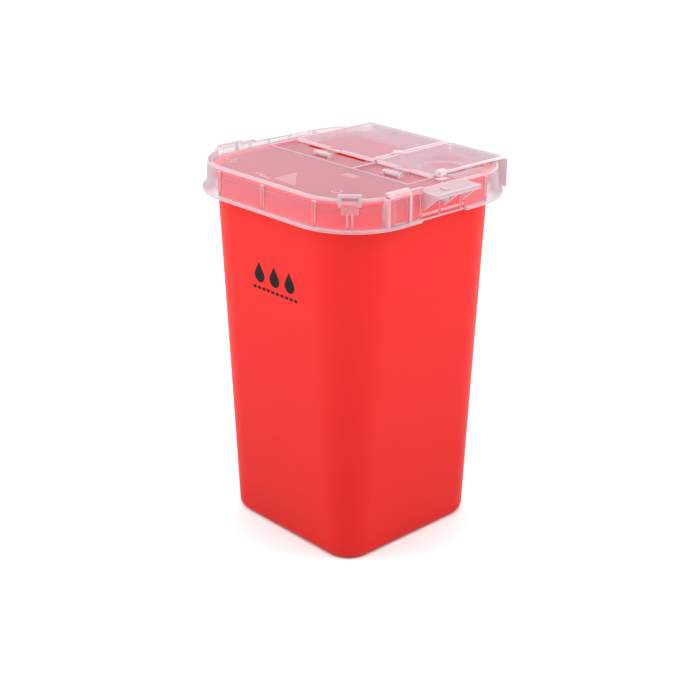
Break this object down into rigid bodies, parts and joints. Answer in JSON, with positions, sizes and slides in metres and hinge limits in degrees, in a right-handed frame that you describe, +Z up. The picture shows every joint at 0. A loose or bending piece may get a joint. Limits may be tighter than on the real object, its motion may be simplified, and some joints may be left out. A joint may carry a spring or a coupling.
{
  "type": "sharps container",
  "caption": "Tapered square sharps tub with a translucent press-fit lid, a drop flap, a round-port flap and a thumb shelf.",
  "frame": {"origin": "centre of the flat underside of the tub", "axes": "+Z up, -Y out of the front face, +X towards the thumb shelf; the flaps are on the +Y half and their hinge line runs along X"},
  "size_m": [0.1165, 0.1063, 0.169],
  "materials": {
    "body_plastic": "opaque red polypropylene, satin moulded surface",
    "lid_plastic": "translucent natural polypropylene, semi-gloss",
    "flap_plastic": "translucent natural polypropylene, semi-gloss"
  },
  "bodies": {
    "tub": {"container_body": "body_plastic"},
    "lid": {"lid_base": "lid_plastic"},
    "drop_flap": {"large_flap": "flap_plastic"},
    "port_flap": {"small_flap": "flap_plastic"}
  },
  "joints": [
    {"name": "lid_lift", "type": "slide", "parent": "tub", "child": "lid", "axis": [0, 0, 1], "range_m": [0, 0.03]},
    {"name": "large_flap_hinge", "type": "hinge", "parent": "lid", "child": "drop_flap", "pos_m": [-0.0159, -0.0024, 0.1659], "axis": [1, 0, 0], "range_deg": [0, 155]},
    {"name": "small_flap_hinge", "type": "hinge", "parent": "lid", "child": "port_flap", "pos_m": [0.0269, -0.0024, 0.1659], "axis": [1, 0, 0], "range_deg": [0, 155]}
  ]
}
